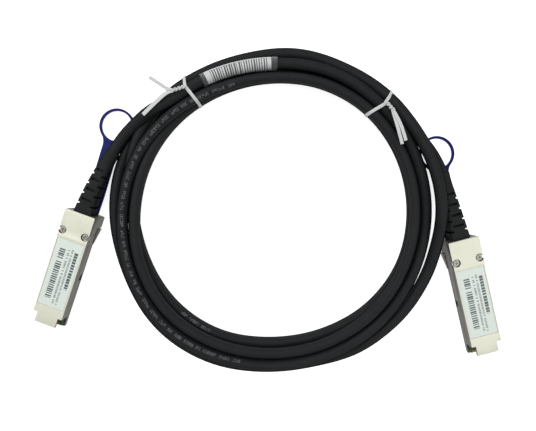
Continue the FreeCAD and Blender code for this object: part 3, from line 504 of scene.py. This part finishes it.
def printedFilm(name, film, ink, rows, grain, rough):
    # Film with rows of strokes. A row's ends are shares of the film's length, its edges of its width.
    material, nodes, links = newMaterial(name)
    place = nodes.new("ShaderNodeUVMap")
    split = nodes.new("ShaderNodeSeparateXYZ")
    links.new(place.outputs["UV"], split.inputs["Vector"])
    along, across = split.outputs["X"], split.outputs["Y"]
    mask = None
    for row in rows:
        printed = strokeMask(nodes, links, along, row)
        printed = insideOf(nodes, links, printed, along, *row["ends"])
        printed = insideOf(nodes, links, printed, across, *row["edges"])
        printed = mathNode(nodes, links, "MULTIPLY", printed, row["ink"])
        mask = printed if mask is None else mathNode(nodes, links, "MAXIMUM", mask, printed)
    shader = grainSurface(nodes, links, *grain, rough)
    links.new(mixColours(nodes, links, mask, (*film, 1), (*ink, 1)), shader.inputs["Base Color"])
    return material


sleeveLook = {
    "colour": (0.7, 0.72, 0.73), "rough": 0.12, "grain": (260, 0.3), "blend": 0.25, "alpha": (0.05, 0.35),
}


def makeSleeveFilm():
    material, nodes, links = newMaterial("clearSleeve")
    shader = nodes["Principled BSDF"]
    shader.inputs["Base Color"].default_value = (*sleeveLook["colour"], 1)
    shader.inputs["Roughness"].default_value = sleeveLook["rough"]
    edge = addNode(nodes, "ShaderNodeLayerWeight", Blend=sleeveLook["blend"])
    grain = addGrain(nodes, *sleeveLook["grain"])
    links.new(grain.outputs["Normal"], shader.inputs["Normal"])
    links.new(mapRange(nodes, links, edge.outputs["Facing"], *sleeveLook["alpha"], spread=(0, 1)),
              shader.inputs["Alpha"])
    return material


# Turn angles where each film starts and ends, its reach from the middle line, its thickness, the
# angles it is wrapped between, and its parts round the cable.
wraps = {
    "label": {"turn": (-26.3, 0.2), "radius": 3.56, "thickness": 0.1, "round": (-120, 150), "parts": 30},
    "sleeve": {"turn": (-28.0, 2.6), "radius": 3.78, "thickness": 0.08, "round": (-180, 178), "parts": 36},
}
labelRows = [
    {"ink": 1.0, "strokes": 27, "seed": 5.0, "width": 0.30, "spread": 0.45, "kept": 0.95,
     "ends": (0.085, 0.94), "edges": (0.0, 0.60)},
]


def makeWrap(kind, name, material, slot, node):
    shape = wraps[kind]
    film = wrapFilm(partOfLine(*shape["turn"]), shape["radius"] * mm, shape["thickness"] * mm,
                    *shape["round"], shape["parts"])
    finishPiece(film, name, material, slot=slot)
    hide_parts(node)
    return film


labelFilm = printedFilm("cableLabelFilm", (0.70, 0.715, 0.715), (0.055, 0.06, 0.063), labelRows,
                        (1200, 0.05), (0.3, 0.45))
cableWraps = [
    makeWrap("label", "cable_label_film", labelFilm, "cable_label", "cable_label"),
    makeWrap("sleeve", "clear_sleeve", makeSleeveFilm(), "sleeve", "label_sleeve"),
]
print("cable and its label made")


tie = {
    "width": 1.9, "thickness": 0.35, "gap": 0.12, "eased": 0.08, "roundSteps": 48,
    "twistRadius": 0.25, "twistPitch": 4.4, "twistWidth": 1.25, "twistParts": 40, "tailParts": 8,
}
tiePaper = drift("tiePaper", (0.56, 0.575, 0.575), (0.78, 0.795, 0.79), (700, 0.35), (0.5, 0.75))


def strandsAt(azimuth):
    # Where the cable passes that azimuth: distance from the coil's middle and height.
    found = []
    for (a, b), (p, q) in zip(zip(cableAngles, cableAngles[1:]), zip(cableLine, cableLine[1:])):
        for whole in range(-1, 6):
            target = azimuth + 360 * whole
            if a <= target < b:
                point = p.lerp(q, (target - a) / (b - a))
                flat = Vector((point.x / mm - coil["x"], point.y / mm - coil["y"]))
                found.append((flat.length, point.z / mm))
    return found


def hullAround(strands, reach):
    # The convex outline round circles of that radius, as points in order.
    spots = []
    for radius, height in strands:
        for step in range(tie["roundSteps"]):
            angle = 2 * math.pi * step / tie["roundSteps"]
            spots.append((radius + reach * math.cos(angle), height + reach * math.sin(angle)))
    spots.sort()
    halves = []
    for order in (spots, spots[::-1]):
        half = []
        for spot in order:
            while len(half) > 1 and (
                (half[-1][0] - half[-2][0]) * (spot[1] - half[-2][1])
                <= (half[-1][1] - half[-2][1]) * (spot[0] - half[-2][0])
            ):
                half.pop()
            half.append(spot)
        halves += half[:-1]
    return halves


def makeRibbon(path, normals, width):
    # A flat strip along a path, its broad face square to the normals.
    last = len(path) - 1

    def place(along, across):
        index = round(along * last)
        ahead = (path[min(index + 1, last)] - path[max(index - 1, 0)]).normalized()
        side = ahead.cross(normals[index]).normalized()
        return path[index] + side * (across - 0.5) * width

    item = bentGrid(last, 2, place)
    if (path[0] - path[-1]).length < 1e-6:
        editAll((bpy.ops.mesh.remove_doubles, {"threshold": 1e-5}))
    editAll((bpy.ops.mesh.normals_make_consistent, {"inside": False}))
    applyModifier("SOLIDIFY", thickness=tie["thickness"] * mm, offset=0)
    easeEdges(tie["eased"], 2, 50)
    return item


def smoothPath(points, parts):
    # A rounded line through the given points.
    found = []
    last = len(points) - 1
    for index in range(last):
        before, start = points[max(index - 1, 0)], points[index]
        end, after = points[index + 1], points[min(index + 2, last)]
        for step in range(parts):
            share = step / parts
            found.append(0.5 * (
                2 * start + (end - before) * share
                + (2 * before - 5 * start + 4 * end - after) * share ** 2
                + (3 * start - before - 3 * end + after) * share ** 3
            ))
    return found + [points[-1]]


def makeTwist(start, end):
    # Two ribbons wound round each other.
    along = (end - start).normalized()
    sideways = along.cross(Vector((0, 0, 1))).normalized()
    rise = sideways.cross(along)
    length = (end - start).length
    pieces = []
    for offset in (0, math.pi):
        path, faces = [], []
        for step in range(tie["twistParts"] + 1):
            share = step / tie["twistParts"]
            angle = offset + 2 * math.pi * share * length / (tie["twistPitch"] * mm)
            swing = sideways * math.cos(angle) + rise * math.sin(angle)
            path.append(start + along * length * share + swing * tie["twistRadius"] * mm)
            faces.append(swing)
        pieces.append(makeRibbon(path, faces, tie["width"] * tie["twistWidth"] * mm))
    return pieces


def makeTie(name, node, azimuth, kink, slant, knot, tails):
    outline = hullAround(strandsAt(azimuth), coil["diameter"] / 2 + tie["gap"] + tie["thickness"] / 2)
    direction = math.radians(azimuth)
    middle = Vector((coil["x"], coil["y"], 0))
    out = Vector((math.sin(direction), math.cos(direction), 0))
    sideways = Vector((math.cos(direction), -math.sin(direction), 0))
    centre = Vector((sum(p[0] for p in outline) / len(outline), sum(p[1] for p in outline) / len(outline)))
    edges = (min(r for r, _ in outline), max(r for r, _ in outline))
    path, normals = [], []
    for radius, height in outline + outline[:1]:
        edge = edges[1] if radius > kink[0] else edges[0]
        share = abs(radius - kink[0]) / abs(edge - kink[0])
        pull = kink[1] * (1 - share) if height > centre.y else 0
        pull += slant * share if radius > kink[0] else 0
        lift = Vector((0, 0, max(height, tie["thickness"])))
        path.append((middle + out * radius + sideways * pull + lift) * mm)
        normals.append((out * (radius - centre.x) + Vector((0, 0, height - centre.y))).normalized())
    pieces = [makeRibbon(path, normals, tie["width"] * mm)]
    start, end = (Vector(spot) * mm for spot in knot)
    pieces += makeTwist(start, end)
    root = end - (end - start).normalized() * mm
    for tail in tails:
        line = smoothPath([root] + [Vector(spot) * mm for spot in tail["points"]], tie["tailParts"])
        pieces.append(makeRibbon(line, [Vector(tail["face"])] * len(line), tie["width"] * tail["wide"] * mm))
    ribbon = finishPiece(joinPieces(pieces), name, tiePaper, slot="tie")
    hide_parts(node)
    return ribbon


# A tie stands at an azimuth. Its kink gives the knot's distance from the coil's middle and how far
# the band is pulled sideways there. Its slant moves the band's outer end along the cable.
level = (0, 0, 1)
ties = [
    {
        "name": "tie_left_ribbon", "node": "twist_tie_left",
        "azimuth": -34.1, "kink": (88.0, -1.0), "slant": 1.9,
        "knot": ((-47.8, 85.6, 17.6), (-55.5, 82.4, 19.0)),
        "tails": [
            {"wide": 1.2, "face": level,
             "points": [(-58.6, 81.0, 19.2), (-65.0, 75.6, 18.6), (-72.3, 69.0, 17.6)]},
            {"wide": 1.05, "face": level,
             "points": [(-58.4, 83.9, 20.0), (-62.6, 86.4, 21.6), (-67.0, 88.9, 23.0)]},
        ],
    },
    {
        "name": "tie_right_ribbon", "node": "twist_tie_right",
        "azimuth": 45.4, "kink": (93.4, 3.2), "slant": 0.4,
        "knot": ((71.1, 76.2, 15.9), (74.2, 71.7, 17.2)),
        "tails": [
            {"wide": 1.0, "face": level,
             "points": [(75.6, 68.6, 17.8), (78.4, 62.4, 18.2), (81.2, 53.8, 18.0)]},
            {"wide": 1.0, "face": (-0.1, 0, 1),
             "points": [(74.8, 67.8, 17.4), (76.6, 61.4, 17.7), (79.3, 51.8, 17.4)]},
        ],
    },
]
tieRibbons = [makeTie(**one) for one in ties]

print("ties made")


# How far each copy's edges are eased, in how many parts, and how level a face must be to keep the lit finish;
# steeper faces take painted shade.
copying = {"merge": 1e-6, "flat": 1, "sharp": 35, "smooth": 30}
eased = {
    "plug_lid": (0.22, 3), "shell_screws": (0.05, 2), "plug_base": (0.15, 2), "strain_relief": (0.3, 3),
    "pull_tab": (0.3, 3), "return_springs": (0.01, 1),
}
unshadedFaceLevel = {"plug_lid": 0.55, "shell_screws": 0.8}


def finishedCopy(node, name, material, body, slot, bevel, segments):
    # A CAD piece with its loose triangles joined and its edges eased.
    source = frame["nodes"][node]
    item = source.copy()
    item.data = source.data.copy()
    item.parent = None
    for key in list(item.keys()):
        del item[key]
    item.matrix_world = Matrix.Identity(4)
    bpy.context.scene.collection.objects.link(item)
    bpy.ops.object.select_all(action="DESELECT")
    bpy.context.view_layer.objects.active = item
    item.select_set(True)
    item.data.materials.clear()
    editAll((bpy.ops.mesh.remove_doubles, {"threshold": copying["merge"]}),
            (bpy.ops.mesh.dissolve_limited, {"angle_limit": math.radians(copying["flat"])}),
            (bpy.ops.mesh.normals_make_consistent, {"inside": False}))
    easeEdges(bevel, segments, copying["sharp"])
    finishPiece(item, name, material, body, slot, smooth=copying["smooth"])
    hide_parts(node)
    return item


def paintSideShade(item, material, steep):
    # Faces that don't look up take the second finish, a darker copy that is painted shade.
    item.data.materials.append(material)
    for face in item.data.polygons:
        face.material_index = 0 if face.normal.z > steep else 1


shellMetal = drift("shellMetal", (0.81, 0.805, 0.655), (0.91, 0.905, 0.765), (1600, 0.10), (0.36, 0.50),
                   metal=0.12)
# The shell's nickel in painted shade: the side faces of lids and screws, and the base, take it.
shadedShellNickel = drift("shadedShellNickel", (0.070, 0.066, 0.055), (0.145, 0.138, 0.118), (1400, 0.12), (0.36, 0.52),
                   metal=0.45)
latchSteel = drift("latchSteel", (0.070, 0.067, 0.058), (0.14, 0.134, 0.118), (1200, 0.08), (0.32, 0.46),
                   metal=0.55)
screwMetal = drift("screwMetal", (0.34, 0.33, 0.28), (0.56, 0.54, 0.47), (2500, 0.05), (0.25, 0.4), metal=0.4)
reliefRubber = drift("reliefRubber", (0.0090, 0.0108, 0.0110), (0.0200, 0.0225, 0.0228), (1100, 0.14),
                     (0.58, 0.72))
# The rubber's edges take painted shade as well, darkened towards black where they turn away.
shineLossAndPaintedEdgeShade(reliefRubber, 0.16, 0.5)
tabPlastic = drift("tabPlastic", (0.0030, 0.0070, 0.070), (0.0080, 0.0180, 0.175), (500, 0.05), (0.42, 0.55),
                   shine=0.12)
cardGreen = drift("cardMask", (0.01, 0.075, 0.03), (0.02, 0.12, 0.05), (900, 0.1), (0.3, 0.45))
padGold = drift("padGold", (0.50, 0.33, 0.11), (0.66, 0.46, 0.17), (2000, 0.05), (0.2, 0.35), metal=1.0)
chipBlack = drift("chipBlack", (0.01, 0.01, 0.011), (0.03, 0.03, 0.032), (900, 0.1), (0.45, 0.6))
coverBlack = drift("coverBlack", (0.01, 0.01, 0.011), (0.03, 0.03, 0.032), (900, 0.1), (0.45, 0.6))
capacitorTan = drift("capacitorTan", (0.35, 0.25, 0.16), (0.48, 0.36, 0.24), (900, 0.05), (0.4, 0.5))
foilGrey = drift("foilGrey", (0.45, 0.46, 0.48), (0.62, 0.63, 0.65), (900, 0.2), (0.25, 0.4), metal=0.8)

# One bold row, two fine rows and a block of bars, all unreadable.
plugRows = [
    {"ink": 0.93, "strokes": 23, "seed": 3.0, "width": 0.60, "spread": 0.30, "kept": 0.96,
     "ends": (0.13, 0.70), "edges": (0.115, 0.245)},
    {"ink": 0.62, "strokes": 44, "seed": 11.0, "width": 0.55, "spread": 0.35, "kept": 0.82,
     "ends": (0.10, 0.95), "edges": (0.305, 0.38)},
    {"ink": 0.66, "strokes": 42, "seed": 23.0, "width": 0.55, "spread": 0.35, "kept": 0.78,
     "ends": (0.12, 0.94), "edges": (0.435, 0.51)},
    {"ink": 0.92, "strokes": 31, "seed": 31.0, "width": 0.38, "spread": 0.50, "kept": 0.92,
     "ends": (0.10, 0.88), "edges": (0.60, 0.82)},
]
plugFilm = printedFilm("plugLabelFilm", (0.79, 0.875, 0.81), (0.055, 0.07, 0.08), plugRows,
                       (1300, 0.05), (0.35, 0.5))


def slideOf(side):
    # A plug's slide and its direction, from the nose to the rear.
    joint = next(joint for joint in frame["joints"] if joint["name"] == f"{side}_release_slide")
    return joint, Vector(joint["axis"]).normalized()


def plugAxes(side):
    # Along the plug, across it and square to its label.
    _, along = slideOf(side)
    across = Vector((-along.y, along.x, 0)).normalized()
    return along, across, along.cross(across).normalized()


labelCorner = {"radius": 0.5, "parts": 5}


def makePlugLabel(side):
    # The film lies where its CAD node does, with rounded corners.
    axes = plugAxes(side)
    places = [vertex.co for vertex in frame["nodes"][f"plug_label_{side}"].data.vertices]
    ranges = [(min(p.dot(axis) for p in places), max(p.dot(axis) for p in places)) for axis in axes]
    long, wide, thick = (high - low for low, high in ranges)
    centre = sum((axis * (low + high) / 2 for axis, (low, high) in zip(axes, ranges)), Vector())
    bpy.ops.object.select_all(action="DESELECT")
    bpy.ops.mesh.primitive_plane_add(size=1)
    item = bpy.context.object
    item.scale = (long, wide, 1)
    bpy.ops.object.transform_apply(scale=True)
    editAll((bpy.ops.mesh.bevel, {"offset": labelCorner["radius"] * mm, "segments": labelCorner["parts"],
                                  "affect": "VERTICES"}))
    uv = item.data.uv_layers.active.data
    for loop in item.data.loops:
        spot = item.data.vertices[loop.vertex_index].co
        uv[loop.index].uv = (0.5 - spot.x / long, 0.5 + spot.y / wide)
    applyModifier("SOLIDIFY", thickness=thick, offset=0)
    item.matrix_world = Matrix.Translation(centre) @ Matrix(axes).transposed().to_4x4()
    bpy.ops.object.transform_apply(location=True, rotation=True)
    finishPiece(item, f"plug_label_film_{side}", plugFilm, slot="label")
    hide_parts(f"plug_label_{side}")


def makeSprings(side):
    # A finished copy of the springs, with a mesh of its own.
    springs = finishedCopy(f"return_springs_{side}", f"springs_{side}", screwMetal, rootBody, None,
                           *eased["return_springs"])
    joint, along = slideOf(side)
    reach = [vertex.co.dot(along) for vertex in springs.data.vertices]
    rear = max(springs.data.vertices, key=lambda vertex: vertex.co.dot(along)).co
    tuple(along)
    tuple(rear)
    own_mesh(springs)


def paint(node, material):
    item = frame["nodes"][node]
    item.data.materials.clear()
    item.data.materials.append(material)


for side in sides:
    for node, name, material, body, slot in (
        ("plug_lid", "lid", shellMetal, rootBody, "shell"),
        ("shell_screws", "screws", screwMetal, rootBody, "screw"),
        ("plug_base", "base", shadedShellNickel, rootBody, "shell"),
        ("strain_relief", "relief", reliefRubber, rootBody, "relief"),
        ("pull_tab", "tab", tabPlastic, f"{side}_release", "tab"),
    ):
        piece = finishedCopy(f"{node}_{side}", f"{name}_{side}", material, body, slot, *eased[node])
        # Side faces of lids and screws get painted shade.
        if node in unshadedFaceLevel:
            paintSideShade(piece, shadedShellNickel, unshadedFaceLevel[node])
    makePlugLabel(side)
    makeSprings(side)
    for node, material in (
        ("latch_slider", latchSteel), ("paddle_card", cardGreen), ("contact_pads", padGold),
        ("memory_chip", chipBlack), ("coupling_capacitors", capacitorTan), ("wire_pairs", foilGrey),
        ("solder_cover", coverBlack), ("crimp_ferrule", padGold),
    ):
        paint(f"{node}_{side}", material)
print("plugs made")


studio = {
    "floorSize": 3, "floorLow": 0.1, "floorGlow": 0.80, "floorRough": 0.9, "world": 0.28,
    "lamps": (("lampMain", (-0.35, 0.35, 0.75), 0.7, 5.0), ("lampFill", (0.55, -0.25, 0.65), 0.8, 2.5)),
    "aim": (0, 0, 0.01),
}


def makeFloor():
    bpy.ops.object.select_all(action="DESELECT")
    bpy.ops.mesh.primitive_plane_add(size=studio["floorSize"], location=(0, 0, -studio["floorLow"] * mm))
    bpy.ops.object.transform_apply(location=True)
    floor = bpy.context.object
    floor.name = "floor"
    material, nodes, links = newMaterial("floorWhite")
    shader = nodes["Principled BSDF"]
    shader.inputs["Base Color"].default_value = (0.8, 0.8, 0.8, 1)
    shader.inputs["Roughness"].default_value = studio["floorRough"]
    rays = nodes.new("ShaderNodeLightPath").outputs
    seen = mathNode(nodes, links, "ADD", rays["Is Camera Ray"], rays["Is Glossy Ray"])
    seen = mathNode(nodes, links, "ADD", seen, rays["Is Transmission Ray"])
    glow = mathNode(nodes, links, "MULTIPLY", seen, studio["floorGlow"])
    shader.inputs["Emission Color"].default_value = (1, 1, 1, 1)
    links.new(glow, shader.inputs["Emission Strength"])
    floor.data.materials.append(material)


def makeLights():
    world = bpy.data.worlds.new("world")
    world.use_nodes = True
    back = world.node_tree.nodes["Background"]
    back.inputs["Color"].default_value = (1, 1, 1, 1)
    back.inputs["Strength"].default_value = studio["world"]
    bpy.context.scene.world = world
    for name, place, size, power in studio["lamps"]:
        data = bpy.data.lights.new(name, "AREA")
        data.energy = power
        data.size = size
        lamp = bpy.data.objects.new(name, data)
        lamp.location = place
        lamp.rotation_euler = (Vector(place) - Vector(studio["aim"])).to_track_quat("Z", "Y").to_euler()
        bpy.context.scene.collection.objects.link(lamp)


makeFloor()
makeLights()
bpy.context.scene.view_settings.view_transform = "Standard"
print("floor and lamps made")
